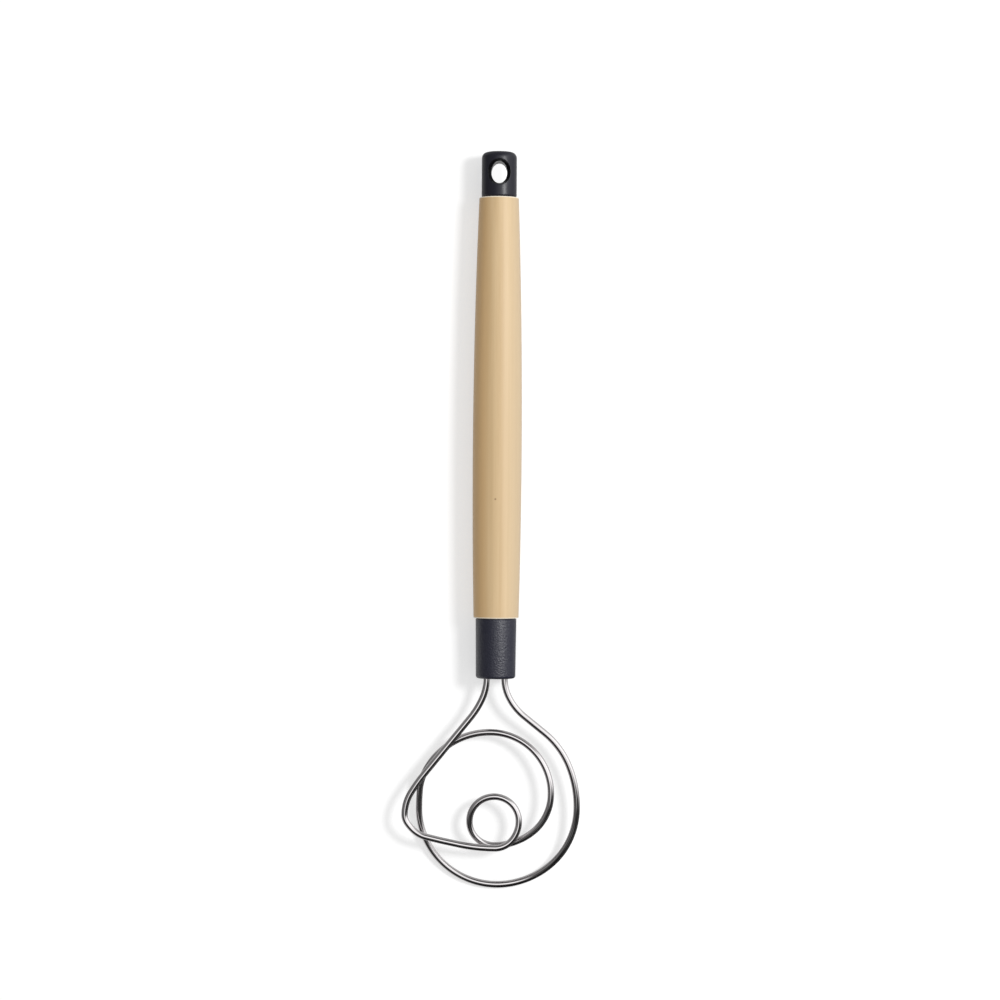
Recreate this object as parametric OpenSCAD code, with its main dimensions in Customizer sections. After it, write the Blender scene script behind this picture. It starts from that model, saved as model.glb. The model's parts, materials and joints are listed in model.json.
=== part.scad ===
// Dough whisk: one bent steel wire in a moulded collar, a turned wooden handle and a cap with a hanging hole.
// It lies on a table. +Y points from the wire head to the cap and +Z points up.

/* [Wire] */
// Diameter of the steel wire
wire_d = 3.1; // [2.5:0.1:3.4]
// Distance between the two legs at the collar
leg_spacing = 8.2; // [7:0.1:9]
// Length of each leg inside the collar and its tenon
leg_held = 38; // [24:1:44]
// Clear height left where the wire passes over itself
pass_gap = 0.6; // [0.4:0.1:1.5]

/* [Rings] */
// Radius of the small ring, to the middle of the wire
small_r = 11.4; // [10:0.1:12.5]
// Radius of the middle ring, to the middle of the wire
middle_r = 28.1; // [26:0.1:29.5]
// Radius of the big ring, to the middle of the wire
big_r = 36.7; // [35:0.1:39]
// Distance of the small ring's centre from the collar
small_at = 66.1; // [63:0.1:68]
// Distance of the middle ring's centre from the collar
middle_at = 53.3; // [51:0.1:55]
// Distance of the big ring's centre from the collar
big_at = 59.6; // [57.5:0.1:62]
// Reach of the pointed corner to the side of the handle's axis
corner_reach = 41.5; // [39:0.1:44]
// Height of the corner's wire above the table
corner_lift = 12; // [10:0.1:14]

/* [Collar] */
// Length of the collar that shows
collar_len = 27.8; // [20:0.1:40]
// Diameter of the collar against the handle
collar_d = 18.8; // [17.5:0.1:20]
// Diameter of the collar at its mouth
mouth_d = 18.3; // [16.8:0.1:19.4]
// Rounding of the collar's mouth
mouth_round = 1.3; // [0.4:0.1:2]
// Length of the collar's tenon inside the handle
collar_tenon_len = 20; // [12:0.5:34]

/* [Handle] */
// Length of the wooden handle
handle_len = 193.8; // [150:0.1:240]
// Diameter at the thickest place
belly_d = 22.6; // [22:0.1:26]
// Distance of the thickest place from the collar
belly_at = 77; // [55:1:100]
// Diameter at the collar
front_d = 20.8; // [19:0.1:21.6]
// Diameter at the cap
rear_d = 18.2; // [17.2:0.1:20]
// Rounding of the handle's two rims
rim_round = 0.6; // [0.3:0.1:1.2]

/* [End cap] */
// Length of the cap that shows
cap_len = 21.3; // [19:0.1:30]
// Diameter of the cap
cap_d = 16.2; // [15:0.1:17]
// Rounding of the cap's end
cap_round = 2.8; // [1:0.1:4]
// Rise of the cap's end towards its middle
cap_crown = 0.3; // [0.1:0.1:0.8]
// Diameter of the cap's tenon inside the handle
cap_tenon_d = 10; // [6:0.5:12]
// Length of the cap's tenon
cap_tenon_len = 16; // [8:0.5:25]
// Width of the hanging hole
hole_w = 7.2; // [5:0.1:7.8]
// Length of the hanging hole along the handle
hole_len = 10.2; // [8.5:0.1:11.4]
// Distance of the hanging hole's centre from the cap's end
hole_at = 10; // [8.7:0.1:11]
// Radius of the ball whose shape dishes each mouth of the hole
dish_r = 5.9; // [5.8:0.1:6.6]
// Depth to which that ball sinks into the cap
dish_depth = 5; // [4.2:0.1:5.4]

/* [Fits] */
// Gap round each wire leg in its bore
leg_gap = 0.05; // [0.02:0.01:0.15]
// Gap round each tenon in its socket
tenon_gap = 0.1; // [0.05:0.01:0.2]
// Gap at the blind end of each bore and socket
end_gap = 0.3; // [0.1:0.1:1]
// Thinnest wall between a leg's bore and the tenon's side
tenon_wall = 1.2; // [0.8:0.1:1.6]

/* [Hidden] */

wire_r = wire_d / 2;
leg_x = leg_spacing / 2;
axis_z = belly_d / 2;
under = wire_d + pass_gap;
bore_d = wire_d + 2 * leg_gap;
bore_depth = leg_held + end_gap;
collar_tenon_d = leg_spacing + bore_d + 2 * tenon_wall;
cap_end = collar_len + handle_len + cap_len;
round_fn = 96;
barrel_steps = 32;
rim_steps = 6;
end_steps = 12;
cut = 1;

// Centres of the three rings, seen from above, with the collar's mouth at [0, 0]
small_c = [-0.0175 * small_r, -small_at];
middle_c = [-0.078 * middle_r, -middle_at];
big_c = [0.033 * big_r, -big_at];

// Heights of the wire's middle above the table, along the way
run_z = corner_lift - 0.23 * wire_d;
small_z = run_z - under;
dive_z = corner_lift - 1.6 * under;
floor_z = wire_r;

// A stop is [x, y, height, heading]. The wire bends from one stop to the next in two smooth arcs.
function ring_stop(centre, r, angle, z) =
    [centre.x + r * cos(angle), centre.y + r * sin(angle), z, angle + 90];
function ahead(stop, length, z) =
    [stop.x + length * cos(stop[3]), stop.y + length * sin(stop[3]), z, stop[3]];

left_bend = [-0.277 * corner_reach, -0.277 * small_at, axis_z + 0.06 * wire_d, -129];
right_bend = [0.621 * big_r, -0.423 * big_at, axis_z - 0.32 * wire_d, 141];

STOPS = [
    [-leg_x, 0, axis_z, -90],
    left_bend,
    ahead(left_bend, 0.81 * corner_reach, corner_lift),
    [-corner_reach, -0.955 * small_at, corner_lift, -90],
    [-0.906 * corner_reach, -1.0605 * small_at, corner_lift, -42.8],
    [-0.764 * corner_reach, -1.109 * small_at, corner_lift - 0.06 * wire_d, -13.9],
    [-small_c.x, small_c.y - small_r - 0.29 * wire_d, run_z, 0],
    ring_stop(small_c, small_r, 0, run_z - 0.06 * wire_d),
    ring_stop(small_c, small_r, 90, run_z - 0.26 * wire_d),
    ring_stop(small_c, small_r, 180, run_z - 0.58 * wire_d),
    ring_stop(small_c, small_r, 270, small_z),
    ring_stop(middle_c, middle_r, 0, corner_lift - 0.26 * wire_d),
    ring_stop(middle_c, middle_r, 90, axis_z - 1.1 * wire_d),
    [-0.886 * big_r, -0.827 * middle_at, dive_z, 243.7],
    [-0.956 * big_r, -1.018 * big_at, dive_z - 0.45 * wire_d, 270],
    ring_stop(big_c, big_r, 232, floor_z + 0.26 * wire_d),
    ring_stop(big_c, big_r, 283, floor_z),
    ring_stop(big_c, big_r, 0, axis_z - 0.65 * wire_d),
    right_bend,
    ahead(right_bend, 0.34 * big_r, axis_z - 0.13 * wire_d),
    [leg_x, 0, axis_z, 90]
];

// Rise of the wire at each stop: level at the ends, the highest and the lowest places
function rise(a, b) = (b.z - a.z) / norm([b.x - a.x, b.y - a.y]);
function even(a, b) = a * b <= 0 ? 0 : 2 * a * b / (a + b);
function slope(i) =
    i == 0 || i == len(STOPS) - 1 ? 0
    : even(rise(STOPS[i - 1], STOPS[i]), rise(STOPS[i], STOPS[i + 1]));
function unit(v) = v / norm(v);
function place(i) = [STOPS[i].x, STOPS[i].y, STOPS[i].z];
function aim(i) = unit([cos(STOPS[i][3]), sin(STOPS[i][3]), slope(i)]);

// Two arcs that leave p0 along t0 and reach p1 along t1: the point where they meet
function meeting(p0, t0, p1, t1) =
    let (
        v = p1 - p0,
        b = v * (t0 + t1),
        a = 2 * (1 - t0 * t1),
        d = a < 1e-9 ? v * v / (2 * b) : (sqrt(b * b + a * (v * v)) - b) / a
    )
    (p0 + p1 + d * (t0 - t1)) / 2;

// Places and directions along one arc from p, which starts along t and ends at q, without its last place
max_turn = 6;
function arc_steps(p, t, q) =
    let (
        chord = q - p,
        across = chord - (chord * t) * t,
        half = atan2(norm(across), chord * t),
        straight = half < 0.01,
        r = straight ? 0 : norm(chord) / (2 * sin(half)),
        n = max(1, ceil(2 * half / max_turn)),
        side = straight ? t : unit(across)
    )
    [for (k = [0 : n - 1]) let (a = 2 * half * k / n)
        [p + r * (sin(a) * t + (1 - cos(a)) * side), cos(a) * t + (straight ? 0 : sin(a)) * side]];
function arc_end_aim(p, t, q) =
    let (c = unit(q - p)) 2 * (c * t) * c - t;
function bend(p0, t0, p1, t1) =
    let (m = meeting(p0, t0, p1, t1))
    concat(arc_steps(p0, t0, m), arc_steps(m, arc_end_aim(p0, t0, m), p1));

leg_start = [[-leg_x, leg_held, axis_z], [0, -1, 0]];
leg_end = [[leg_x, leg_held, axis_z], [0, 1, 0]];
ROUTE = concat(
    [leg_start],
    [for (i = [0 : len(STOPS) - 2]) each bend(place(i), aim(i), place(i + 1), aim(i + 1))],
    [[place(len(STOPS) - 1), [0, 1, 0]], leg_end]
);

wire_sides = 16;
function section(p, t) =
    let (side = unit(cross(t, [0, 0, 1])), up = cross(side, t))
    [for (k = [0 : wire_sides - 1]) let (a = 360 * k / wire_sides)
        p + wire_r * (cos(a) * side + sin(a) * up)];
WIRE_POINTS = [for (s = ROUTE) each section(s[0], s[1])];
function quad(i, k) =
    let (j = (k + 1) % wire_sides, a = i * wire_sides, b = a + wire_sides)
    [[a + k, a + j, b + j], [a + k, b + j, b + k]];
last_ring = (len(ROUTE) - 1) * wire_sides;
WIRE_FACES = concat(
    [[for (k = [wire_sides - 1 : -1 : 0]) k]],
    [for (i = [0 : len(ROUTE) - 2], k = [0 : wire_sides - 1]) each quad(i, k)],
    [[for (k = [0 : wire_sides - 1]) last_ring + k]]
);

// The origin lies at the middle of the outline seen from above, on the table
function span_mid(list) = (min(list) + max(list)) / 2;
mid_x = span_mid([for (p = WIRE_POINTS) p.x]);
mid_y = (min([for (p = WIRE_POINTS) p.y]) + cap_end) / 2;
module to_origin() {
    translate([-mid_x, -mid_y, 0]) children();
}
// Turns a revolved part's axis onto the handle's axis, starting at distance y from the collar's mouth
module on_axis(y) {
    translate([0, y, axis_z]) rotate([-90, 0, 0]) children();
}

// One steel wire: left leg, pointed corner, small ring, middle ring, big ring, right leg
module wire_head() {
    color([0.72, 0.73, 0.75])
        to_origin()
            polyhedron(WIRE_POINTS, WIRE_FACES, convexity = 12);
}

module collar_profile() {
    difference() {
        polygon([[0, 0], [mouth_d / 2, 0], [collar_d / 2, collar_len], [0, collar_len]]);
        translate([mouth_d / 2 - mouth_round, -cut])
            square([mouth_round + cut, mouth_round + cut]);
    }
    translate([mouth_d / 2 - mouth_round, mouth_round]) circle(mouth_round, $fn = round_fn);
}
module collar() {
    color([0.16, 0.16, 0.18])
        to_origin()
            difference() {
                union() {
                    on_axis(0) rotate_extrude($fn = round_fn) collar_profile();
                    on_axis(collar_len - cut)
                        cylinder(d = collar_tenon_d, h = collar_tenon_len + cut, $fn = round_fn);
                }
                for (x = [-leg_x, leg_x])
                    translate([x, 0, 0]) on_axis(-cut)
                        cylinder(d = bore_d, h = bore_depth + cut, $fn = round_fn);
            }
}

// Barrel outline: from the belly, one arc falls to each end
front_fall = (belly_d - front_d) / 2;
rear_fall = (belly_d - rear_d) / 2;
rear_run = handle_len - belly_at;
function fallen_r(run, fall, at) =
    let (turn = 2 * fall / (run * run + fall * fall) * at)
    belly_d / 2 - turn * at / (1 + sqrt(1 - turn * turn));
function barrel_r(y) =
    y < belly_at ? fallen_r(belly_at, front_fall, belly_at - y) : fallen_r(rear_run, rear_fall, y - belly_at);
function rim(y, from) =
    [for (k = [0 : rim_steps]) let (a = from + 90 * k / rim_steps)
        [barrel_r(y) - rim_round + rim_round * cos(a), y + rim_round * sin(a)]];
module handle_profile() {
    barrel_len = handle_len - 2 * rim_round;
    polygon(concat(
        [[0, 0]],
        rim(rim_round, -90),
        [for (k = [1 : barrel_steps - 1]) let (y = rim_round + barrel_len * k / barrel_steps) [barrel_r(y), y]],
        rim(handle_len - rim_round, 0),
        [[0, handle_len]]
    ));
}
module handle() {
    color([0.86, 0.74, 0.56])
        to_origin()
            difference() {
                on_axis(collar_len) rotate_extrude($fn = round_fn) handle_profile();
                on_axis(collar_len - cut)
                    cylinder(
                        d = collar_tenon_d + 2 * tenon_gap,
                        h = collar_tenon_len + end_gap + cut,
                        $fn = round_fn
                    );
                on_axis(collar_len + handle_len - cap_tenon_len - end_gap)
                    cylinder(
                        d = cap_tenon_d + 2 * tenon_gap,
                        h = cap_tenon_len + end_gap + cut,
                        $fn = round_fn
                    );
            }
}

// Cap outline: a rounding leans over into an arc that crowns the end
corner_r = cap_d / 2 - cap_round;
crown_lean = 2 * atan(cap_crown / corner_r);
crown_r = (corner_r + cap_round * sin(crown_lean)) / sin(crown_lean);
corner_y = cap_len - crown_r * (1 - cos(crown_lean)) - cap_round * cos(crown_lean);
module cap_profile() {
    polygon(concat(
        [[0, 0], [cap_d / 2, 0]],
        [for (k = [0 : end_steps]) let (a = (90 - crown_lean) * k / end_steps)
            [corner_r + cap_round * cos(a), corner_y + cap_round * sin(a)]],
        [for (k = [1 : rim_steps]) let (a = crown_lean * (1 - k / rim_steps))
            [crown_r * sin(a), cap_len - crown_r * (1 - cos(a))]]
    ));
}
// An oval hole, and at each mouth the dish that a ball would leave
module hanging_hole() {
    translate([0, cap_end - hole_at, axis_z]) {
        linear_extrude(2 * cap_d, center = true)
            polygon([for (k = [0 : round_fn - 1]) let (a = 360 * k / round_fn)
                [hole_w / 2 * cos(a), hole_len / 2 * sin(a)]]);
        for (side = [-1, 1])
            translate([0, 0, side * (cap_d / 2 + dish_r - dish_depth)])
                sphere(dish_r, $fn = round_fn);
    }
}
module end_cap() {
    color([0.13, 0.13, 0.14])
        to_origin()
            difference() {
                union() {
                    on_axis(collar_len + handle_len) rotate_extrude($fn = round_fn) cap_profile();
                    on_axis(collar_len + handle_len - cap_tenon_len)
                        cylinder(d = cap_tenon_d, h = cap_tenon_len + cut, $fn = round_fn);
                }
                hanging_hole();
            }
}

wire_head();
collar();
handle();
end_cap();
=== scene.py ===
"""Dough whisk: a bent steel wire head, a moulded collar, a turned wooden handle and a cap with a hole."""
import json
from math import atan, atan2, ceil, cos, pi, radians, sin, sqrt

import bpy
from bpy.props import FloatProperty, FloatVectorProperty, IntProperty, PointerProperty
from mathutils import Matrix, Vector

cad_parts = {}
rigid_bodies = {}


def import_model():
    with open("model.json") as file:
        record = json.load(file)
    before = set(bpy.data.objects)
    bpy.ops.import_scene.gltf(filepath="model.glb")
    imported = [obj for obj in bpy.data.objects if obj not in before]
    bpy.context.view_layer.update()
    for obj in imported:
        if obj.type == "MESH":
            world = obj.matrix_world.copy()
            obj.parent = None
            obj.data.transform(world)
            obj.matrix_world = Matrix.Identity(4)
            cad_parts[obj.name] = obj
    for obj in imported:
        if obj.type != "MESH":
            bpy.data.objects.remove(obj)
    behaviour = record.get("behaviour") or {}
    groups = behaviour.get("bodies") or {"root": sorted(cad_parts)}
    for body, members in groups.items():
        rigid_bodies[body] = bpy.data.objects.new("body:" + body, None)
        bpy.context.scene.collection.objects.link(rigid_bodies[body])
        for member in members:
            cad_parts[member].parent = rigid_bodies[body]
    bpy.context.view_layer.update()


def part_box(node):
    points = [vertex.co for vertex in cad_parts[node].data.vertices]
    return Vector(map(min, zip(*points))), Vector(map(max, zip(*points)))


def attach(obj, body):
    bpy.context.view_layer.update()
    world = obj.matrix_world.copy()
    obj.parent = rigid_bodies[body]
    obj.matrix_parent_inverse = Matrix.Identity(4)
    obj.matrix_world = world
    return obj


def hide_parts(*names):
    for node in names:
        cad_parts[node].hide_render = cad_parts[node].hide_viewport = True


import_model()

bl_info = {
    "name": "Dough Whisk",
    "version": (1, 0, 0),
    "blender": (4, 5, 0),
    "location": "View3D > Sidebar > Whisk",
    "description": "Builds a dough whisk round its fixed frame, with a studio stage",
    "category": "Add Mesh",
}

MM = 0.001

# The frame gives the place of every piece: the handle's axis, and where one piece ends and the next begins
wire_low, wire_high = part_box("wire_head")
collar_low, collar_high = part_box("collar")
handle_low, handle_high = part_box("handle")
cap_low, cap_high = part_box("end_cap")
AXIS_X = (handle_low.x + handle_high.x) / 2
AXIS_Z = (handle_low.z + handle_high.z) / 2
MOUTH_Y = collar_low.y
FRONT_Y = handle_low.y
REAR_Y = handle_high.y
END_Y = cap_high.y

# Clearances of the hidden fits, and how finely round shapes are drawn
BORE_CLEARANCE = 0.06 * MM
SOCKET_CLEARANCE = 0.1 * MM
BLIND_END = 0.3 * MM
TURNED_SIDES = 128
BORE_SIDES = 48
HOLE_SIDES = 96
RIM_STEPS = 8


class WhiskWire(bpy.types.PropertyGroup):
    """Sizes and finish of the bent wire."""
    diameter: FloatProperty(
        name="Wire diameter", description="Thickness of the steel wire",
        default=3.1 * MM, min=2.5 * MM, max=3.4 * MM, unit="LENGTH")
    leg_spacing: FloatProperty(
        name="Leg spacing", description="Distance between the two legs at the collar",
        default=8.2 * MM, min=7 * MM, max=9 * MM, unit="LENGTH")
    leg_held: FloatProperty(
        name="Leg held", description="Length of each leg inside the collar",
        default=38 * MM, min=24 * MM, max=44 * MM, unit="LENGTH")
    pass_gap: FloatProperty(
        name="Pass gap", description="Clear height where the wire passes over itself",
        default=0.6 * MM, min=0.4 * MM, max=1.5 * MM, unit="LENGTH")
    corner_lift: FloatProperty(
        name="Corner lift", description="Height of the pointed corner's wire above the table",
        default=12 * MM, min=10 * MM, max=14 * MM, unit="LENGTH")
    small_r: FloatProperty(
        name="Small ring radius", description="Radius of the small ring, to the middle of the wire",
        default=11.4 * MM, unit="LENGTH")
    middle_r: FloatProperty(
        name="Middle ring radius", description="Radius of the middle ring, to the middle of the wire",
        default=28.1 * MM, unit="LENGTH")
    big_r: FloatProperty(
        name="Big ring radius", description="Radius of the big ring, to the middle of the wire",
        default=36.7 * MM, unit="LENGTH")
    small_at: FloatProperty(
        name="Small ring place", description="Distance of the small ring's centre from the collar",
        default=66.1 * MM, unit="LENGTH")
    middle_at: FloatProperty(
        name="Middle ring place", description="Distance of the middle ring's centre from the collar",
        default=53.3 * MM, unit="LENGTH")
    big_at: FloatProperty(
        name="Big ring place", description="Distance of the big ring's centre from the collar",
        default=59.6 * MM, unit="LENGTH")
    corner_reach: FloatProperty(
        name="Corner reach", description="Reach of the pointed corner to the side of the handle's axis",
        default=41.5 * MM, unit="LENGTH")
    turn_step: FloatProperty(
        name="Turn step", description="Widest turn of the wire between two of its rings of points",
        default=radians(2.5), min=radians(1), max=radians(8), subtype="ANGLE")
    colour: FloatVectorProperty(
        name="Wire colour", description="Colour of the polished steel",
        default=(0.64, 0.617, 0.622), min=0, max=1, size=3, subtype="COLOR")
    roughness: FloatProperty(
        name="Wire roughness", description="Roughness of the polished steel",
        default=0.07, min=0, max=1, subtype="FACTOR")


class WhiskCollar(bpy.types.PropertyGroup):
    """Sizes and finish of the moulded collar."""
    rear_d: FloatProperty(
        name="Rear diameter", description="Diameter against the handle",
        default=18.8 * MM, unit="LENGTH")
    mouth_d: FloatProperty(
        name="Mouth diameter", description="Diameter at the mouth",
        default=18.3 * MM, unit="LENGTH")
    mouth_round: FloatProperty(
        name="Mouth rounding", description="Rounding of the mouth's rim",
        default=1.3 * MM, unit="LENGTH")
    tenon_d: FloatProperty(
        name="Tenon diameter", description="Diameter of the tenon inside the handle",
        default=13.8 * MM, unit="LENGTH")
    groove: FloatProperty(
        name="Joint groove", description="Depth of the shallow groove against the handle",
        default=0.35 * MM, unit="LENGTH")
    colour: FloatVectorProperty(
        name="Collar colour", description="Colour of the charcoal plastic",
        default=(0.0145, 0.0153, 0.031), min=0, max=1, size=3, subtype="COLOR")


class WhiskHandle(bpy.types.PropertyGroup):
    """Sizes and finish of the turned handle."""
    front_d: FloatProperty(
        name="Front diameter", description="Diameter at the collar",
        default=20.8 * MM, unit="LENGTH")
    rear_d: FloatProperty(
        name="Rear diameter", description="Diameter at the cap",
        default=18.2 * MM, unit="LENGTH")
    belly_at: FloatProperty(
        name="Belly place", description="Distance of the thickest place from the collar",
        default=77 * MM, unit="LENGTH")
    rim_round: FloatProperty(
        name="Rim rounding", description="Rounding of the two rims",
        default=0.6 * MM, unit="LENGTH")
    steps: IntProperty(
        name="Barrel steps", description="Number of rings of points along the barrel",
        default=40, min=12, max=120)
    colour: FloatVectorProperty(
        name="Wood colour", description="Colour of the pale wood",
        default=(0.722, 0.537, 0.312), min=0, max=1, size=3, subtype="COLOR")
    dark_colour: FloatVectorProperty(
        name="Grain colour", description="Colour of the wood's darker streaks",
        default=(0.615, 0.432, 0.228), min=0, max=1, size=3, subtype="COLOR")
    # Painted shade: the handle's left side, which faces away from the lamp, is coloured darker and warmer.
    shaded_side_colour: FloatVectorProperty(
        name="Painted shade colour", description="Warmer colour of the handle's left side",
        default=(0.66, 0.415, 0.18), min=0, max=1, size=3, subtype="COLOR")
    # Painted sheen: the handle's right side, which faces the lamp, is coloured paler and less saturated, as if
    # by its gloss.
    lit_side_colour: FloatVectorProperty(
        name="Painted sheen colour", description="Paler colour of the handle's right side",
        default=(0.65, 0.505, 0.33), min=0, max=1, size=3, subtype="COLOR")
    rim_colour: FloatVectorProperty(
        name="Rim colour", description="Paler colour of the two rims",
        default=(0.97, 0.87, 0.69), min=0, max=1, size=3, subtype="COLOR")
    knot_colour: FloatVectorProperty(
        name="Knot colour", description="Colour of the pin knot",
        default=(0.36, 0.22, 0.12), min=0, max=1, size=3, subtype="COLOR")
    knot_x: FloatProperty(
        name="Knot across", description="Place of the pin knot on the top of the handle",
        default=1.1 * MM, unit="LENGTH")
    knot_y: FloatProperty(
        name="Knot along", description="Place of the pin knot on the top of the handle",
        default=10.05 * MM, unit="LENGTH")
    knot_r: FloatProperty(
        name="Knot radius", description="Size of the pin knot",
        default=0.4 * MM, unit="LENGTH")


class WhiskCap(bpy.types.PropertyGroup):
    """Sizes and finish of the end cap."""
    diameter: FloatProperty(
        name="Cap diameter", description="Diameter of the cap",
        default=16.2 * MM, unit="LENGTH")
    end_round: FloatProperty(
        name="End rounding", description="Rounding of the cap's end",
        default=2.8 * MM, unit="LENGTH")
    crown: FloatProperty(
        name="Crown", description="Rise of the cap's end towards its middle",
        default=0.3 * MM, unit="LENGTH")
    tenon_d: FloatProperty(
        name="Tenon diameter", description="Diameter of the tenon inside the handle",
        default=10 * MM, unit="LENGTH")
    hole_w: FloatProperty(
        name="Hole width", description="Width of the hanging hole",
        default=7.2 * MM, unit="LENGTH")
    hole_len: FloatProperty(
        name="Hole length", description="Length of the hanging hole along the handle",
        default=10.2 * MM, unit="LENGTH")
    hole_at: FloatProperty(
        name="Hole place", description="Distance of the hole's middle from the cap's end",
        default=10 * MM, unit="LENGTH")
    dish_depth: FloatProperty(
        name="Dish depth", description="How far the ball that makes the dish sinks below the cap's top",
        default=5 * MM, unit="LENGTH")
    dish_r: FloatProperty(
        name="Dish radius", description="Radius of the ball that makes the dish round each mouth of the hole",
        default=5.9 * MM, unit="LENGTH")
    groove: FloatProperty(
        name="Joint groove", description="Depth of the shallow groove against the handle",
        default=0.4 * MM, unit="LENGTH")
    colour: FloatVectorProperty(
        name="Cap colour", description="Colour of the black plastic",
        default=(0.0122, 0.0121, 0.02), min=0, max=1, size=3, subtype="COLOR")
    # Painted shade: the dish round each mouth of the hole is coloured near black, as shade in the hollow.
    dish_shade_colour: FloatVectorProperty(
        name="Dish shade colour", description="Colour of the darker, shaded dish",
        default=(0.002, 0.002, 0.003), min=0, max=1, size=3, subtype="COLOR")


class WhiskStage(bpy.types.PropertyGroup):
    """Floor, light and camera."""
    camera_height: FloatProperty(
        name="Camera height", description="Height of the camera above the table",
        default=1.37, unit="LENGTH")
    view_width: FloatProperty(
        name="View width", description="Width of the table that the picture shows",
        default=0.4651, unit="LENGTH")
    aim_x: FloatProperty(
        name="Aim across", description="Place of the camera across the handle",
        default=3.24 * MM, unit="LENGTH")
    aim_y: FloatProperty(
        name="Aim along", description="Place of the camera along the handle",
        default=9.68 * MM, unit="LENGTH")
    lean: FloatProperty(
        name="Lean", description="Turn of the picture about the camera's axis",
        default=radians(0.43), subtype="ANGLE")
    paper: FloatProperty(
        name="Paper", description="How much light the floor's paper gives back",
        default=0.62, min=0, max=1, subtype="FACTOR")
    lift: FloatProperty(
        name="Lift", description="Level added to the floor where the camera sees it",
        default=0.505, min=0, max=1, subtype="FACTOR")
    fill: FloatProperty(
        name="Fill level", description="Level of the even light from all round",
        default=0.56, min=0, max=2)
    room: FloatProperty(
        name="Room level", description="Level of the walls that polished metal reflects",
        default=0.41, min=0, max=1, subtype="FACTOR")
    fill_lean: FloatProperty(
        name="Fill lean", description="How much stronger the even light is from the right than from above",
        default=0.14, min=0, max=1)
    key: FloatProperty(
        name="Key power", description="Power of the soft lamp at the upper right",
        default=10.0, min=0, unit="POWER")
    lamp_place: FloatVectorProperty(
        name="Lamp place", description="Place of the soft lamp, which points at the middle of the whisk",
        default=(0.748, 0.264, 1.1), size=3, subtype="TRANSLATION", unit="LENGTH")
    lamp_width: FloatProperty(
        name="Lamp width", description="Diameter of the soft lamp",
        default=0.34, min=0.01, unit="LENGTH")
    # Painted light: a brighter patch of floor under the hanging hole, inside the cap's shadow, which only the
    # camera sees.
    painted_light_level: FloatProperty(
        name="Painted light level", description="Level of the paper seen through the hanging hole",
        default=0.82, min=0, max=1, subtype="FACTOR")
    painted_light_core: FloatProperty(
        name="Painted light core", description="Radius within which that paper has its full level",
        default=3.6 * MM, unit="LENGTH")
    painted_light_edge: FloatProperty(
        name="Painted light edge", description="Radius at which that paper is like the rest",
        default=8 * MM, unit="LENGTH")


# Small tools for modelling

def start_clean():
    """Nothing selected, and object mode."""
    if bpy.context.mode != "OBJECT":
        bpy.ops.object.mode_set(mode="OBJECT")
    bpy.ops.object.select_all(action="DESELECT")


def apply_place(piece):
    """The piece's place goes into its mesh, and its object to the origin."""
    start_clean()
    piece.select_set(True)
    bpy.context.view_layer.objects.active = piece
    bpy.ops.object.transform_apply(location=True, rotation=True, scale=True)


def rounded(centre_r, centre_y, r, start, turn, steps):
    """Outline points of a rounding, from one angle over a turn."""
    return [(centre_r + r * cos(start + turn * k / steps), centre_y + r * sin(start + turn * k / steps))
            for k in range(steps + 1)]


def lathe(name, outline, sides):
    """Turns an outline of (radius, y) about the handle's axis: a circle, extruded and scaled ring by ring."""
    start_clean()
    r, y = outline[0]
    bpy.ops.mesh.primitive_circle_add(
        vertices=sides, radius=r, location=(AXIS_X, y, AXIS_Z), rotation=(pi / 2, 0, 0))
    piece = bpy.context.object
    piece.name = name
    apply_place(piece)
    bpy.ops.object.mode_set(mode="EDIT")
    bpy.ops.mesh.select_all(action="SELECT")
    for new_r, new_y in outline[1:]:
        bpy.ops.mesh.extrude_region_move(TRANSFORM_OT_translate={"value": (0, new_y - y, 0)})
        ratio = new_r / r
        bpy.ops.transform.resize(value=(ratio, 1, ratio), center_override=(AXIS_X, new_y, AXIS_Z))
        r, y = new_r, new_y
    bpy.ops.mesh.select_all(action="SELECT")
    bpy.ops.mesh.fill_holes(sides=0)
    bpy.ops.mesh.select_all(action="SELECT")
    bpy.ops.mesh.normals_make_consistent(inside=False)
    bpy.ops.object.mode_set(mode="OBJECT")
    return piece


def cut_away(piece, cutter):
    """Takes the cutter out of the piece and removes the cutter."""
    start_clean()
    piece.select_set(True)
    bpy.context.view_layer.objects.active = piece
    cut = piece.modifiers.new("Cut", "BOOLEAN")
    cut.operation, cut.object, cut.solver = "DIFFERENCE", cutter, "EXACT"
    bpy.ops.object.modifier_apply(modifier=cut.name)
    bpy.data.objects.remove(cutter)


def smooth_shading(piece, angle):
    """Smooth faces, with edges sharper than the angle kept crisp."""
    start_clean()
    piece.select_set(True)
    bpy.context.view_layer.objects.active = piece
    bpy.ops.object.shade_smooth_by_angle(angle=angle)


def dress(piece, node, material):
    """The piece stands for its node, rides with the whisk and takes its material."""
    piece.data.materials.clear()
    piece.data.materials.append(material)
    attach(piece, "root")
    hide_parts(node)


# The wire's way

def unit(v):
    return v / v.length


def ring_stop(centre, r, angle, z):
    """A stop on a ring: place, and heading along the ring."""
    a = radians(angle)
    return Vector((centre[0] + r * cos(a), centre[1] + r * sin(a), z)), angle + 90


def ahead(place, heading, length, z):
    """A stop straight ahead of another."""
    a = radians(heading)
    return Vector((place.x + length * cos(a), place.y + length * sin(a), z)), heading


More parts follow.
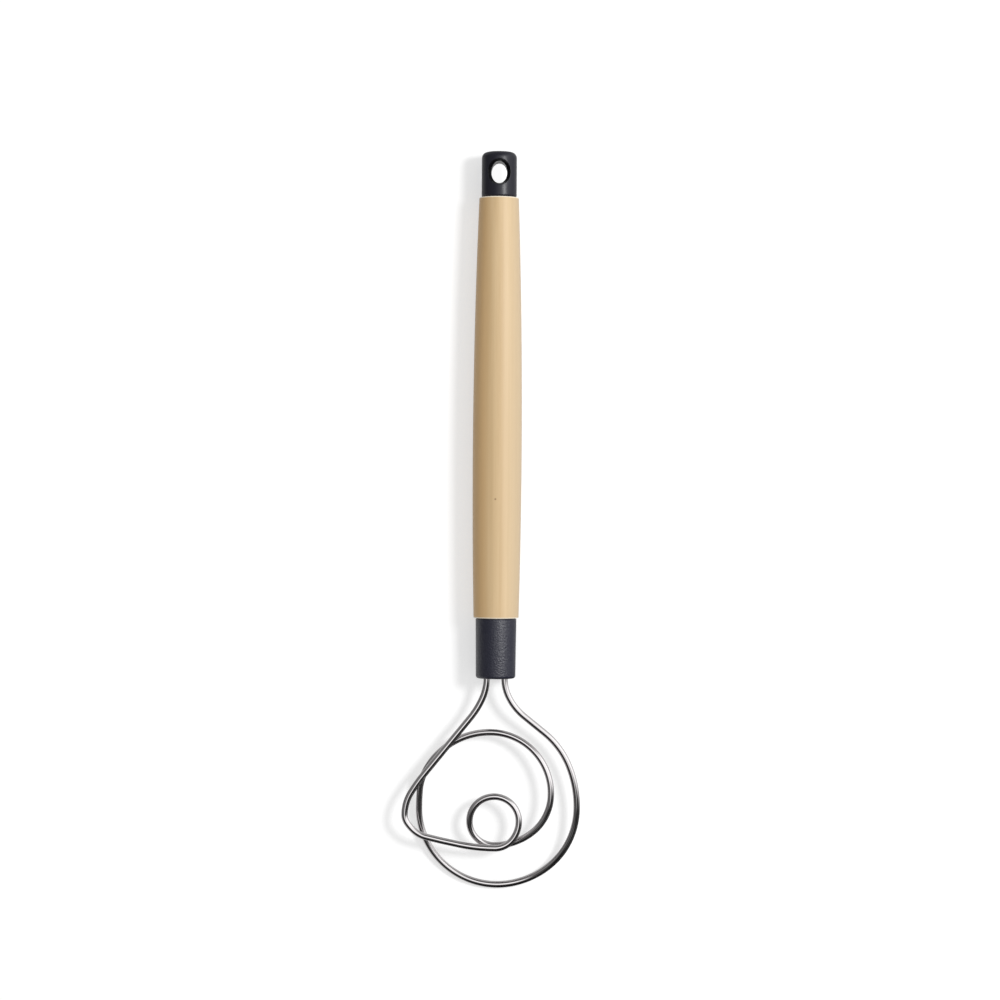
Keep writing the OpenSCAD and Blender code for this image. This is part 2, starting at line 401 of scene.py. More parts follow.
def wire_stops(wire):
    """Stops of the wire in millimetres from the collar's mouth, the same as the frame's wire has."""
    d, lift, axis_z = wire.diameter / MM, wire.corner_lift / MM, AXIS_Z / MM
    small_r, middle_r, big_r = wire.small_r / MM, wire.middle_r / MM, wire.big_r / MM
    small_at, middle_at, big_at = wire.small_at / MM, wire.middle_at / MM, wire.big_at / MM
    leg_x, under, reach = wire.leg_spacing / MM / 2, d + wire.pass_gap / MM, wire.corner_reach / MM
    small_c, middle_c = (-0.0175 * small_r, -small_at), (-0.078 * middle_r, -middle_at)
    big_c = (0.033 * big_r, -big_at)
    run_z, dive_z, floor_z = lift - 0.23 * d, lift - 1.6 * under, d / 2
    left_bend = Vector((-0.277 * reach, -0.277 * small_at, axis_z + 0.06 * d))
    right_bend = Vector((0.621 * big_r, -0.423 * big_at, axis_z - 0.32 * d))
    return [
        (Vector((-leg_x, 0, axis_z)), -90),
        (left_bend, -129),
        ahead(left_bend, -129, 0.81 * reach, lift),
        (Vector((-reach, -0.955 * small_at, lift)), -90),
        (Vector((-0.906 * reach, -1.0605 * small_at, lift)), -42.8),
        (Vector((-0.764 * reach, -1.109 * small_at, lift - 0.06 * d)), -13.9),
        (Vector((-small_c[0], small_c[1] - small_r - 0.29 * d, run_z)), 0),
        ring_stop(small_c, small_r, 0, run_z - 0.06 * d),
        ring_stop(small_c, small_r, 90, run_z - 0.26 * d),
        ring_stop(small_c, small_r, 180, run_z - 0.58 * d),
        ring_stop(small_c, small_r, 270, run_z - under),
        ring_stop(middle_c, middle_r, 0, lift - 0.26 * d),
        ring_stop(middle_c, middle_r, 90, axis_z - 1.1 * d),
        (Vector((-0.886 * big_r, -0.827 * middle_at, dive_z)), 243.7),
        (Vector((-0.956 * big_r, -1.018 * big_at, dive_z - 0.45 * d)), 270),
        ring_stop(big_c, big_r, 232, floor_z + 0.26 * d),
        ring_stop(big_c, big_r, 283, floor_z),
        ring_stop(big_c, big_r, 0, axis_z - 0.65 * d),
        (right_bend, 141),
        ahead(right_bend, 141, 0.34 * big_r, axis_z - 0.13 * d),
        (Vector((leg_x, 0, axis_z)), 90),
    ]


def rise(a, b):
    """Rise per length seen from above between two stops."""
    return (b.z - a.z) / (b - a).xy.length


def aims(stops):
    """Direction of the wire at each stop: level at the ends, the highest and the lowest places."""
    made = []
    for i, (place, heading) in enumerate(stops):
        slope = 0.0
        if 0 < i < len(stops) - 1:
            a, b = rise(stops[i - 1][0], place), rise(place, stops[i + 1][0])
            slope = 0.0 if a * b <= 0 else 2 * a * b / (a + b)
        made.append(unit(Vector((cos(radians(heading)), sin(radians(heading)), slope))))
    return made


def meeting(p0, t0, p1, t1):
    """Where two arcs meet that leave p0 along t0 and reach p1 along t1."""
    v = p1 - p0
    b, a = v.dot(t0 + t1), 2 * (1 - t0.dot(t1))
    d = v.dot(v) / (2 * b) if a < 1e-9 else (sqrt(b * b + a * v.dot(v)) - b) / a
    return (p0 + p1 + d * (t0 - t1)) / 2


def arc_steps(p, t, q, step):
    """Places along one arc from p, which starts along t and ends at q, without its last place."""
    chord = q - p
    across = chord - chord.dot(t) * t
    half = atan2(across.length, chord.dot(t))
    if half < 1e-4:
        return [p]
    r, side = chord.length / (2 * sin(half)), unit(across)
    n = max(1, ceil(2 * half / step))
    return [p + r * (sin(2 * half * k / n) * t + (1 - cos(2 * half * k / n)) * side) for k in range(n)]


def wire_way(wire):
    """Places along the middle of the whole wire, in metres in the frame."""
    stops = wire_stops(wire)
    headings = aims(stops)
    held = Vector((0, wire.leg_held / MM, 0))
    way = [stops[0][0] + held]
    for i in range(len(stops) - 1):
        p0, p1, t0, t1 = stops[i][0], stops[i + 1][0], headings[i], headings[i + 1]
        m = meeting(p0, t0, p1, t1)
        c = unit(m - p0)
        way += arc_steps(p0, t0, m, wire.turn_step)
        way += arc_steps(m, 2 * c.dot(t0) * c - t0, p1, wire.turn_step)
    way += [stops[-1][0], stops[-1][0] + held]
    return [Vector((AXIS_X + p.x * MM, MOUTH_Y + p.y * MM, p.z * MM)) for p in way]


# Materials

def link_in(tree, source, target):
    tree.links.new(source, target)


def add_node(tree, kind, **values):
    """A node with some of its sockets and settings set."""
    node = tree.nodes.new(kind)
    for key, value in values.items():
        if hasattr(node, key):
            setattr(node, key, value)
        else:
            node.inputs[key.replace("_", " ")].default_value = value
    return node


def new_material(name):
    """A material with its own Principled shader, and that shader."""
    material = bpy.data.materials.new(name)
    material.use_nodes = True
    tree = material.node_tree
    return material, tree, tree.nodes["Principled BSDF"]


def masked(tree, value, gone, full, most=1):
    """Mask that rises from nothing at one value to its most at the other."""
    soft = add_node(tree, "ShaderNodeMapRange", interpolation_type="SMOOTHSTEP")
    soft.inputs["From Min"].default_value = min(gone, full)
    soft.inputs["From Max"].default_value = max(gone, full)
    soft.inputs["To Min" if full > gone else "To Max"].default_value = 0
    soft.inputs["To Max" if full > gone else "To Min"].default_value = most
    link_in(tree, value, soft.inputs["Value"])
    return soft.outputs["Result"]


def laid_colour(tree, under, mask, colour):
    """A colour laid over another through a mask."""
    mix = add_node(tree, "ShaderNodeMix", data_type="RGBA")
    link_in(tree, mask, mix.inputs[0])
    if isinstance(under, tuple):
        mix.inputs[6].default_value = under
    else:
        link_in(tree, under, mix.inputs[6])
    mix.inputs[7].default_value = (*colour, 1)
    return mix.outputs[2]


def distance_from(tree, place, centre):
    """Distance of each point of the surface from one place."""
    away = add_node(tree, "ShaderNodeVectorMath", operation="DISTANCE")
    away.inputs[1].default_value = centre
    link_in(tree, place, away.inputs[0])
    return away.outputs["Value"]


def lighten_edges(shader, weight, roughness):
    """The dusty lighter look that worn plastic and sanded wood have where they turn away."""
    shader.inputs["Sheen Weight"].default_value = weight
    shader.inputs["Sheen Roughness"].default_value = roughness


def surface_grain_group():
    """Fine moulded or ground texture, shared by plastic and steel: a value for roughness, a height for bump."""
    name = "Surface Grain"
    if name in bpy.data.node_groups:
        return bpy.data.node_groups[name]
    group = bpy.data.node_groups.new(name, "ShaderNodeTree")
    face = group.interface
    for label, kind, value in (("Vector", "NodeSocketVector", None), ("Scale", "NodeSocketFloat", 900.0),
                               ("Low", "NodeSocketFloat", 0.4), ("High", "NodeSocketFloat", 0.6)):
        socket = face.new_socket(label, in_out="INPUT", socket_type=kind)
        if value is not None:
            socket.default_value = value
    face.new_socket("Roughness", in_out="OUTPUT", socket_type="NodeSocketFloat")
    face.new_socket("Height", in_out="OUTPUT", socket_type="NodeSocketFloat")
    inside, outside = group.nodes.new("NodeGroupInput"), group.nodes.new("NodeGroupOutput")
    fine = add_node(group, "ShaderNodeTexNoise", Detail=3.0)
    broad = add_node(group, "ShaderNodeTexNoise", Scale=110.0, Detail=2.0)
    span = add_node(group, "ShaderNodeMapRange")
    link_in(group, inside.outputs["Vector"], fine.inputs["Vector"])
    link_in(group, inside.outputs["Scale"], fine.inputs["Scale"])
    link_in(group, inside.outputs["Vector"], broad.inputs["Vector"])
    link_in(group, broad.outputs["Fac"], span.inputs["Value"])
    span.inputs["From Min"].default_value, span.inputs["From Max"].default_value = 0.3, 0.7
    link_in(group, inside.outputs["Low"], span.inputs["To Min"])
    link_in(group, inside.outputs["High"], span.inputs["To Max"])
    link_in(group, span.outputs["Result"], outside.inputs["Roughness"])
    link_in(group, fine.outputs["Fac"], outside.inputs["Height"])
    return group


def grained(tree, shader, scale, low, high, bump, distance):
    """Puts the shared grain into a material: roughness from low to high, and a fine bump."""
    place = add_node(tree, "ShaderNodeTexCoord")
    grain = tree.nodes.new("ShaderNodeGroup")
    grain.node_tree = surface_grain_group()
    grain.inputs["Scale"].default_value = scale
    grain.inputs["Low"].default_value, grain.inputs["High"].default_value = low, high
    relief = add_node(tree, "ShaderNodeBump", Strength=bump, Distance=distance)
    link_in(tree, place.outputs["Object"], grain.inputs["Vector"])
    link_in(tree, grain.outputs["Roughness"], shader.inputs["Roughness"])
    link_in(tree, grain.outputs["Height"], relief.inputs["Height"])
    link_in(tree, relief.outputs["Normal"], shader.inputs["Normal"])


def steel_material(wire):
    """Polished stainless wire."""
    material, tree, shader = new_material("polished_steel")
    shader.inputs["Base Color"].default_value = (*wire.colour, 1)
    shader.inputs["Metallic"].default_value = 1
    grained(tree, shader, scale=1400, low=wire.roughness * 0.8, high=wire.roughness * 1.3,
            bump=0.02, distance=0.01 * MM)
    return material


def collar_material(collar):
    """Matte charcoal plastic with a fine moulded texture."""
    material, tree, shader = new_material("charcoal_plastic")
    shader.inputs["Base Color"].default_value = (*collar.colour, 1)
    shader.inputs["Specular IOR Level"].default_value = 0.75
    lighten_edges(shader, weight=0.5, roughness=0.22)
    grained(tree, shader, scale=1500, low=0.38, high=0.47, bump=1, distance=0.2 * MM)
    return material


def cap_material(cap):
    """Black plastic with a soft sheen, and painted shade, near black, in the dish round each mouth of the hole.
    """
    material, tree, shader = new_material("black_plastic")
    place = add_node(tree, "ShaderNodeTexCoord")
    colour = (*cap.colour, 1)
    rise_to_ball = cap.diameter / 2 + cap.dish_r - cap.dish_depth
    for side in (1, -1):
        ball = (AXIS_X, END_Y - cap.hole_at, AXIS_Z + side * rise_to_ball)
        from_ball = distance_from(tree, place.outputs["Object"], ball)
        # Painted shade: near-black colour laid over each dish.
        dish = masked(tree, from_ball, gone=cap.dish_r + 0.25 * MM, full=cap.dish_r + 0.05 * MM)
        colour = laid_colour(tree, colour, dish, cap.dish_shade_colour)
    link_in(tree, colour, shader.inputs["Base Color"])
    shader.inputs["Specular IOR Level"].default_value = 0.36
    lighten_edges(shader, weight=0.6, roughness=0.22)
    grained(tree, shader, scale=1500, low=0.36, high=0.44, bump=0.3, distance=0.1 * MM)
    return material


def wood_streaks(tree, way, handle):
    """Colour of the lengthwise grain, and the fine streaks alone, which also steer the gloss."""
    streaks = add_node(tree, "ShaderNodeTexNoise", Scale=420.0, Detail=5.0, Roughness=0.62)
    broad = add_node(tree, "ShaderNodeTexNoise", Scale=70.0, Detail=3.0)
    fine_part = add_node(tree, "ShaderNodeMath", operation="MULTIPLY_ADD")
    broad_part = add_node(tree, "ShaderNodeMath", operation="MULTIPLY")
    fine_part.inputs[1].default_value, broad_part.inputs[1].default_value = 0.6, 0.4
    link_in(tree, way, streaks.inputs["Vector"])
    link_in(tree, way, broad.inputs["Vector"])
    link_in(tree, streaks.outputs["Fac"], fine_part.inputs[0])
    link_in(tree, broad.outputs["Fac"], broad_part.inputs[0])
    link_in(tree, broad_part.outputs["Value"], fine_part.inputs[2])
    ramp = add_node(tree, "ShaderNodeValToRGB")
    dark, pale = ramp.color_ramp.elements
    dark.position, dark.color = 0.36, (*handle.dark_colour, 1)
    pale.position, pale.color = 0.66, (*handle.colour, 1)
    link_in(tree, fine_part.outputs["Value"], ramp.inputs["Fac"])
    return ramp.outputs["Color"], streaks.outputs["Fac"]


def wood_material(handle):
    """Pale close-grained wood, sanded smooth: streaks along the handle, fine pores, pale rims, a pin knot,
    painted shade down its left side and a painted sheen down its right.
    """
    material, tree, shader = new_material("pale_wood")
    place = add_node(tree, "ShaderNodeTexCoord")
    along = add_node(tree, "ShaderNodeMapping")
    along.inputs["Scale"].default_value = (1, 0.012, 1)
    link_in(tree, place.outputs["Object"], along.inputs["Vector"])
    colour, streaks = wood_streaks(tree, along.outputs["Vector"], handle)
    parts = add_node(tree, "ShaderNodeSeparateXYZ")
    link_in(tree, place.outputs["Object"], parts.inputs["Vector"])
    across = parts.outputs["X"]
    # Painted shade: a darker, warmer colour laid over the left side, away from the lamp.
    shaded_side = masked(tree, across, gone=AXIS_X - 2 * MM, full=AXIS_X - 8 * MM, most=0.8)
    # Painted sheen: a paler colour laid over the right side, towards the lamp.
    lit_side = masked(tree, across, gone=AXIS_X + 2 * MM, full=AXIS_X + 9 * MM, most=0.7)
    colour = laid_colour(tree, colour, shaded_side, handle.shaded_side_colour)
    colour = laid_colour(tree, colour, lit_side, handle.lit_side_colour)
    from_middle = add_node(tree, "ShaderNodeMath", operation="SUBTRACT")
    from_middle.inputs[1].default_value = (FRONT_Y + REAR_Y) / 2
    link_in(tree, parts.outputs["Y"], from_middle.inputs[0])
    either_way = add_node(tree, "ShaderNodeMath", operation="ABSOLUTE")
    link_in(tree, from_middle.outputs["Value"], either_way.inputs[0])
    half, edge = (REAR_Y - FRONT_Y) / 2, handle.rim_round
    rims = masked(tree, either_way.outputs["Value"], gone=half - 1.1 * edge, full=half - 0.5 * edge)
    colour = laid_colour(tree, colour, rims, handle.rim_colour)
    knot_place = (handle.knot_x, handle.knot_y, handle_high.z)
    from_knot = distance_from(tree, place.outputs["Object"], knot_place)
    knot = masked(tree, from_knot, gone=1.6 * handle.knot_r, full=0.6 * handle.knot_r)
    colour = laid_colour(tree, colour, knot, handle.knot_colour)
    link_in(tree, colour, shader.inputs["Base Color"])
    lighten_edges(shader, weight=0.6, roughness=0.3)
    satin = add_node(tree, "ShaderNodeMapRange")
    satin.inputs["To Min"].default_value, satin.inputs["To Max"].default_value = 0.42, 0.56
    link_in(tree, streaks, satin.inputs["Value"])
    link_in(tree, satin.outputs["Result"], shader.inputs["Roughness"])
    pores = add_node(tree, "ShaderNodeTexNoise", Scale=1600.0, Detail=2.0)
    relief = add_node(tree, "ShaderNodeBump", Strength=0.15, Distance=0.03 * MM)
    link_in(tree, along.outputs["Vector"], pores.inputs["Vector"])
    link_in(tree, pores.outputs["Fac"], relief.inputs["Height"])
    link_in(tree, relief.outputs["Normal"], shader.inputs["Normal"])
    return material


# Operators

class WHISK_OT_wire(bpy.types.Operator):
    """Bend the wire head: one round wire along the stops, from leg to leg"""
    bl_idname = "whisk.wire"
    bl_label = "Wire Head"

    def execute(self, context):
        wire = context.scene.whisk_wire
        way = wire_way(wire)
        start_clean()
        line = bpy.data.curves.new("whisk_wire", "CURVE")
        line.dimensions, line.bevel_depth, line.bevel_resolution = "3D", wire.diameter / 2, 10
        line.use_fill_caps, line.twist_mode = True, "Z_UP"
        spline = line.splines.new("POLY")
        spline.points.add(len(way) - 1)
        for point, place in zip(spline.points, way):
            point.co = (*place, 1)
        piece = bpy.data.objects.new("whisk_wire", line)
        context.scene.collection.objects.link(piece)
        piece.select_set(True)
        context.view_layer.objects.active = piece
        bpy.ops.object.convert(target="MESH")
        piece = context.object
        bpy.ops.object.mode_set(mode="EDIT")
        bpy.ops.mesh.select_all(action="SELECT")
        bpy.ops.mesh.remove_doubles(threshold=0.001 * MM)
        bpy.ops.mesh.normals_make_consistent(inside=False)
        bpy.ops.object.mode_set(mode="OBJECT")
        smooth_shading(piece, radians(40))
        dress(piece, "wire_head", steel_material(wire))
        return {"FINISHED"}


class WHISK_OT_collar(bpy.types.Operator):
    """Turn the collar with its rounded mouth and tenon, and bore it for the two legs"""
    bl_idname = "whisk.collar"
    bl_label = "Collar"

    def execute(self, context):
        collar, wire = context.scene.whisk_collar, context.scene.whisk_wire
        mouth_r, edge = collar.mouth_d / 2, collar.mouth_round
        rear_r, tenon_r, groove = collar.rear_d / 2, collar.tenon_d / 2, collar.groove
        outline = [(mouth_r * 0.3, MOUTH_Y), (mouth_r * 0.7, MOUTH_Y)]
        outline += rounded(mouth_r - edge, MOUTH_Y + edge, edge, -pi / 2, pi / 2, RIM_STEPS)
        outline += [(rear_r, FRONT_Y - 1.5 * groove), (rear_r - groove, FRONT_Y - groove),
                    (rear_r - groove, FRONT_Y), (tenon_r, FRONT_Y),
                    (tenon_r, collar_high.y), (mouth_r * 0.3, collar_high.y)]
        piece = lathe("whisk_collar", outline, TURNED_SIDES)
        bore_r = wire.diameter / 2 + BORE_CLEARANCE
        depth, lead = wire.leg_held + BLIND_END, 1 * MM
        for side in (-1, 1):
            start_clean()
            bpy.ops.mesh.primitive_cylinder_add(
                vertices=BORE_SIDES, radius=bore_r, depth=depth + lead, rotation=(pi / 2, 0, 0),
                location=(AXIS_X + side * wire.leg_spacing / 2, MOUTH_Y + (depth - lead) / 2, AXIS_Z))
            cut_away(piece, context.object)
        smooth_shading(piece, radians(35))
        dress(piece, "collar", collar_material(collar))
        return {"FINISHED"}


class WHISK_OT_handle(bpy.types.Operator):
    """Turn the barrel handle, with its two rims and sockets"""
    bl_idname = "whisk.handle"
    bl_label = "Handle"

    def execute(self, context):
        handle = context.scene.whisk_handle
        collar, cap = context.scene.whisk_collar, context.scene.whisk_cap
        belly_r, edge = (handle_high.x - handle_low.x) / 2, handle.rim_round
        belly_y = FRONT_Y + handle.belly_at

        def barrel_r(y):
            run = handle.belly_at if y < belly_y else REAR_Y - belly_y
            fall = belly_r - (handle.front_d if y < belly_y else handle.rear_d) / 2
            r = (run * run + fall * fall) / (2 * fall)
            return belly_r - r + sqrt(r * r - (y - belly_y) ** 2)

        front_socket, rear_socket = collar.tenon_d / 2 + SOCKET_CLEARANCE, cap.tenon_d / 2 + SOCKET_CLEARANCE
        front_end, rear_end = collar_high.y + BLIND_END, cap_low.y - BLIND_END
        first, last = FRONT_Y + edge, REAR_Y - edge
        outline = [(front_socket * 0.5, front_end), (front_socket, front_end), (front_socket, FRONT_Y)]
        outline += rounded(barrel_r(first) - edge, first, edge, -pi / 2, pi / 2, RIM_STEPS)
        for k in range(1, handle.steps):
            y = first + (last - first) * k / handle.steps
            outline.append((barrel_r(y), y))
        outline += rounded(barrel_r(last) - edge, last, edge, 0, pi / 2, RIM_STEPS)
        outline += [(rear_socket, REAR_Y), (rear_socket, rear_end), (rear_socket * 0.5, rear_end)]
        piece = lathe("whisk_handle", outline, TURNED_SIDES)
        smooth_shading(piece, radians(35))
        dress(piece, "handle", wood_material(handle))
        return {"FINISHED"}


class WHISK_OT_cap(bpy.types.Operator):
    """Turn the end cap, cut the hanging hole with a dish at each mouth, and soften its edges"""
    bl_idname = "whisk.cap"
    bl_label = "End Cap"

    def execute(self, context):
        cap = context.scene.whisk_cap
        r, tenon_r, edge, groove = cap.diameter / 2, cap.tenon_d / 2, cap.end_round, cap.groove
        flat_r = r - edge
        lean = 2 * atan(cap.crown / flat_r)
        crown_r = (flat_r + edge * sin(lean)) / sin(lean)
        corner_y = END_Y - crown_r * (1 - cos(lean)) - edge * cos(lean)
        outline = [(tenon_r * 0.4, cap_low.y), (tenon_r, cap_low.y), (tenon_r, REAR_Y),
                   (r - groove, REAR_Y), (r - groove, REAR_Y + groove), (r, REAR_Y + 1.5 * groove),
                   (r, (REAR_Y + END_Y) / 2)]
        outline += rounded(flat_r, corner_y, edge, 0, pi / 2 - lean, 12)
        for part in (0.75, 0.5, 0.25):
            outline.append((crown_r * sin(lean * part), END_Y - crown_r * (1 - cos(lean * part))))
        piece = lathe("whisk_cap", outline, TURNED_SIDES)
        hole_y = END_Y - cap.hole_at
        for side in (-1, 1):
            start_clean()
            bpy.ops.mesh.primitive_uv_sphere_add(
                segments=96, ring_count=64, radius=cap.dish_r,
                location=(AXIS_X, hole_y, AXIS_Z + side * (r + cap.dish_r - cap.dish_depth)))
            cut_away(piece, context.object)
        start_clean()
        bpy.ops.mesh.primitive_cylinder_add(
            vertices=HOLE_SIDES, radius=cap.hole_w / 2, depth=2 * cap.diameter,
            location=(AXIS_X, hole_y, AXIS_Z))
        hole = context.object
        hole.scale.y = cap.hole_len / cap.hole_w
        apply_place(hole)
        cut_away(piece, hole)
        even = piece.modifiers.new("Even mesh", "REMESH")
        even.mode, even.voxel_size = "VOXEL", 0.18 * MM
        soften = piece.modifiers.new("Soften", "SMOOTH")
        soften.factor, soften.iterations = 0.5, 6
        lighten = piece.modifiers.new("Lighten", "DECIMATE")
        lighten.ratio = 0.35
        for step in (even.name, soften.name, lighten.name):
            bpy.ops.object.modifier_apply(modifier=step)
        smooth_shading(piece, radians(60))
        dress(piece, "end_cap", cap_material(cap))
        return {"FINISHED"}


class WHISK_OT_stage(bpy.types.Operator):
    """Lay the pale floor, hang the lamp, light the surroundings and set the camera"""
    bl_idname = "whisk.stage"
    bl_label = "Stage"

    def execute(self, context):
        stage, scene = context.scene.whisk_stage, context.scene
        start_clean()
        bpy.ops.mesh.primitive_plane_add(size=6, location=(0, 0, 0))
        floor = context.object
        floor.name = "floor"
        hole = Vector((AXIS_X, END_Y - scene.whisk_cap.hole_at, AXIS_Z))
        camera_place = Vector((stage.aim_x, stage.aim_y, stage.camera_height))
        # Place of the painted pool of light: the floor that the camera sees through the hanging hole.
        painted_light_spot = hole + (hole - camera_place) * hole.z / (camera_place.z - hole.z)
        floor.data.materials.append(floor_material(stage, painted_light_spot))
        floor.visible_glossy = False
        start_clean()
        bpy.ops.object.light_add(type="AREA", location=stage.lamp_place)
        lamp = context.object
        lamp.name = "key_lamp"
        lamp.data.shape, lamp.data.size = "DISK", stage.lamp_width
        lamp.data.energy = stage.key
        lamp.light_linking.receiver_collection = unlit_by_key(scene)
        lamp.rotation_euler = (-lamp.location).to_track_quat("-Z", "Y").to_euler()
        scene.world = studio_world(stage)
        start_clean()
        bpy.ops.object.camera_add(location=camera_place, rotation=(0, 0, stage.lean))
        camera = context.object
        camera.name = "top_camera"
        camera.data.lens = camera.data.sensor_width * stage.camera_height / stage.view_width
        camera.data.clip_end = 20
        scene.camera = camera
        scene.view_settings.view_transform = "Standard"
        return {"FINISHED"}


def unlit_by_key(scene):
    """The polished wire sees the soft lamp of the surroundings instead of the small hard one."""
    group = bpy.data.collections.new("unlit_by_key")
    for piece in scene.objects:
        if piece.name.startswith("whisk_wire"):
            group.objects.link(piece)
    for member in group.collection_objects:
        member.light_linking.link_state = "EXCLUDE"
    return group


def floor_material(stage, painted_light_spot):
    """White paper that keeps its shadows. A lift seen only by the camera brings its unshadowed part up
    to white, and a painted pool of light, a little more lift, lies in the cap's shadow where the camera looks
    through the hanging hole."""
    material, tree, shader = new_material("white_floor")
    shader.inputs["Base Color"].default_value = (stage.paper, stage.paper, stage.paper, 1)
    shader.inputs["Roughness"].default_value = 0.9
    shader.inputs["Specular IOR Level"].default_value = 0
    rays = add_node(tree, "ShaderNodeLightPath")
    place = add_node(tree, "ShaderNodeTexCoord")
    # Painted pool of light: the camera's lift rises from its usual level to a brighter one under the hanging
    # hole.
    level = add_node(tree, "ShaderNodeMapRange", interpolation_type="SMOOTHSTEP")
    level.inputs["From Min"].default_value = stage.painted_light_core
    level.inputs["From Max"].default_value = stage.painted_light_edge
    level.inputs["To Min"].default_value = stage.painted_light_level
    level.inputs["To Max"].default_value = stage.lift
    link_in(tree, distance_from(tree, place.outputs["Object"], painted_light_spot), level.inputs["Value"])
    lift = add_node(tree, "ShaderNodeMath", operation="MULTIPLY")
    link_in(tree, rays.outputs["Is Camera Ray"], lift.inputs[0])
    link_in(tree, level.outputs["Result"], lift.inputs[1])
    shader.inputs["Emission Color"].default_value = (1, 1, 1, 1)
    link_in(tree, lift.outputs["Value"], shader.inputs["Emission Strength"])
    return material


def sky_patch(tree, way, azimuth, from_top, core, edge):
    """Mask of a round patch of the surroundings: full within the core angle, gone past the edge angle."""
    a, t = radians(azimuth), radians(from_top)
    dot = add_node(tree, "ShaderNodeVectorMath", operation="DOT_PRODUCT")
    dot.inputs[1].default_value = (sin(t) * cos(a), sin(t) * sin(a), cos(t))
    link_in(tree, way, dot.inputs[0])
    soft = add_node(tree, "ShaderNodeMapRange", interpolation_type="SMOOTHSTEP")
    soft.inputs["From Min"].default_value = cos(radians(edge))
    soft.inputs["From Max"].default_value = cos(radians(core))
    link_in(tree, dot.outputs["Value"], soft.inputs["Value"])
    return soft.outputs["Result"]


def laid_over(tree, level, mask, value):
    """One level of light laid over another through a mask."""
    mix = add_node(tree, "ShaderNodeMix", data_type="FLOAT")
    mix.inputs["B"].default_value = value
    link_in(tree, mask, mix.inputs["Factor"])
    if isinstance(level, float):
        mix.inputs["A"].default_value = level
    else:
        link_in(tree, level, mix.inputs["A"])
    return mix.outputs["Result"]


# What polished and satin surfaces see round them, each over the ones before it:
# name, azimuth, angle from the top, core and edge of the patch in degrees, level of light
SURROUNDINGS = (
    ("pale wall behind", 90, 86, 17, 76, 0.56),
    ("dark ceiling behind", 106, 39, 11, 52, 0.12),
    ("dark side in front", 276, 80, 47, 136, 0.02),
    ("pale slot in front", 268, 29, 2, 12, 0.4),
    ("dark stand at the left", 213, 41, 12, 36, 0.04),
    ("dark gap at the left", 172, 77, 18, 40, 0.0),
    ("paper at the left", 215, 123, 5, 50, 0.87),
    ("dark strip at the right", 2, 44, 10, 24, 0.0),
    ("soft lamp at the right", 27, 43, 4, 26, 1.75),
    ("lamp's foot at the right", 19, 77, 15, 33, 1.6),
    ("paper at the right", 25, 128, 10, 38, 0.75),
    ("small lamp overhead", 81, 8, 8, 23, 1.62),
    ("paper below", 90, 180, 8, 30, 1.0),
    ("dark shelf in front", 290, 57, 9, 42, 0.0),
    ("grey wall at the left", 155, 51, 9, 43, 0.26),
    ("dark corner in front", 322, 87, 12, 52, 0.05),
)


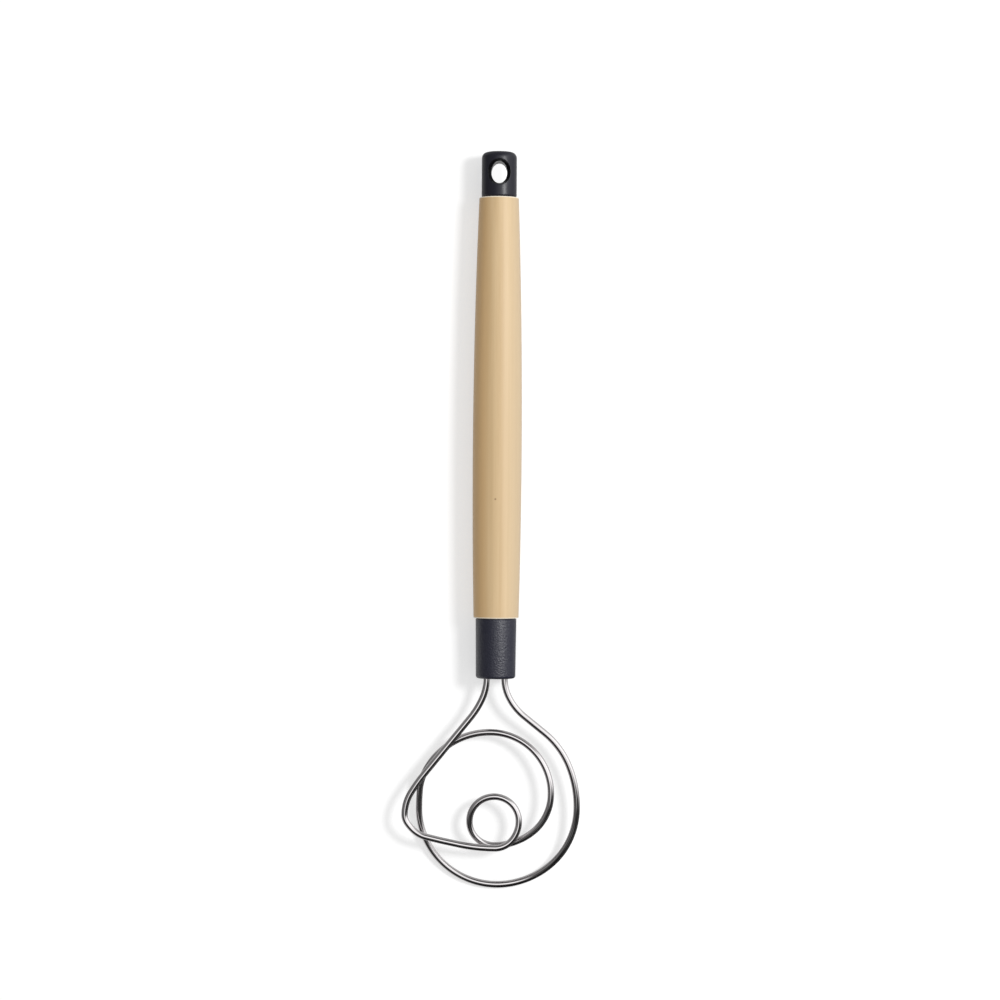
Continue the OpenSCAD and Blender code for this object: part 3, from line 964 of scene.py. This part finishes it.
def studio_world(stage):
    """Even light from all round, a little stronger from the right, white behind, and a room for gloss."""
    world = bpy.data.worlds.new("studio")
    world.use_nodes = True
    tree = world.node_tree
    tree.nodes.clear()
    place = add_node(tree, "ShaderNodeTexCoord")
    way = place.outputs["Generated"]
    level = stage.room
    for _, azimuth, from_top, core, edge, value in SURROUNDINGS:
        level = laid_over(tree, level, sky_patch(tree, way, azimuth, from_top, core, edge), value)
    lean = add_node(tree, "ShaderNodeVectorMath", operation="DOT_PRODUCT")
    lean.inputs[1].default_value = (stage.fill_lean, stage.fill_lean * 0.3, 0)
    link_in(tree, way, lean.inputs[0])
    fill = add_node(tree, "ShaderNodeMath", operation="ADD")
    fill.inputs[1].default_value = stage.fill
    link_in(tree, lean.outputs["Value"], fill.inputs[0])
    out = add_node(tree, "ShaderNodeOutputWorld")
    rays = add_node(tree, "ShaderNodeLightPath")
    even, mirror, white = (add_node(tree, "ShaderNodeBackground") for _ in range(3))
    for light in (even, mirror, white):
        light.inputs["Color"].default_value = (1, 1, 1, 1)
    link_in(tree, fill.outputs["Value"], even.inputs["Strength"])
    link_in(tree, level, mirror.inputs["Strength"])
    shiny, seen = add_node(tree, "ShaderNodeMixShader"), add_node(tree, "ShaderNodeMixShader")
    link_in(tree, rays.outputs["Is Glossy Ray"], shiny.inputs["Fac"])
    link_in(tree, even.outputs["Background"], shiny.inputs[1])
    link_in(tree, mirror.outputs["Background"], shiny.inputs[2])
    link_in(tree, rays.outputs["Is Camera Ray"], seen.inputs["Fac"])
    link_in(tree, shiny.outputs["Shader"], seen.inputs[1])
    link_in(tree, white.outputs["Background"], seen.inputs[2])
    link_in(tree, seen.outputs["Shader"], out.inputs["Surface"])
    return world


class WHISK_PT_panel(bpy.types.Panel):
    """Buttons for each piece of the whisk and its sizes"""
    bl_idname = "WHISK_PT_panel"
    bl_label = "Dough Whisk"
    bl_space_type = "VIEW_3D"
    bl_region_type = "UI"
    bl_category = "Whisk"

    def draw(self, context):
        scene = context.scene
        for group, operator in ((scene.whisk_wire, "whisk.wire"), (scene.whisk_collar, "whisk.collar"),
                                (scene.whisk_handle, "whisk.handle"), (scene.whisk_cap, "whisk.cap"),
                                (scene.whisk_stage, "whisk.stage")):
            box = self.layout.box()
            for name in group.__annotations__:
                box.prop(group, name)
            box.operator(operator)


GROUPS = {"whisk_wire": WhiskWire, "whisk_collar": WhiskCollar, "whisk_handle": WhiskHandle,
          "whisk_cap": WhiskCap, "whisk_stage": WhiskStage}
CLASSES = (*GROUPS.values(), WHISK_OT_wire, WHISK_OT_collar, WHISK_OT_handle, WHISK_OT_cap, WHISK_OT_stage,
           WHISK_PT_panel)


def register():
    for item in CLASSES:
        bpy.utils.register_class(item)
    for name, group in GROUPS.items():
        setattr(bpy.types.Scene, name, PointerProperty(type=group))


def unregister():
    for name in GROUPS:
        delattr(bpy.types.Scene, name)
    for item in reversed(CLASSES):
        bpy.utils.unregister_class(item)


def main():
    register()
    bpy.ops.whisk.wire()
    bpy.ops.whisk.collar()
    bpy.ops.whisk.handle()
    bpy.ops.whisk.cap()
    bpy.ops.whisk.stage()


if __name__ == "__main__":
    main()
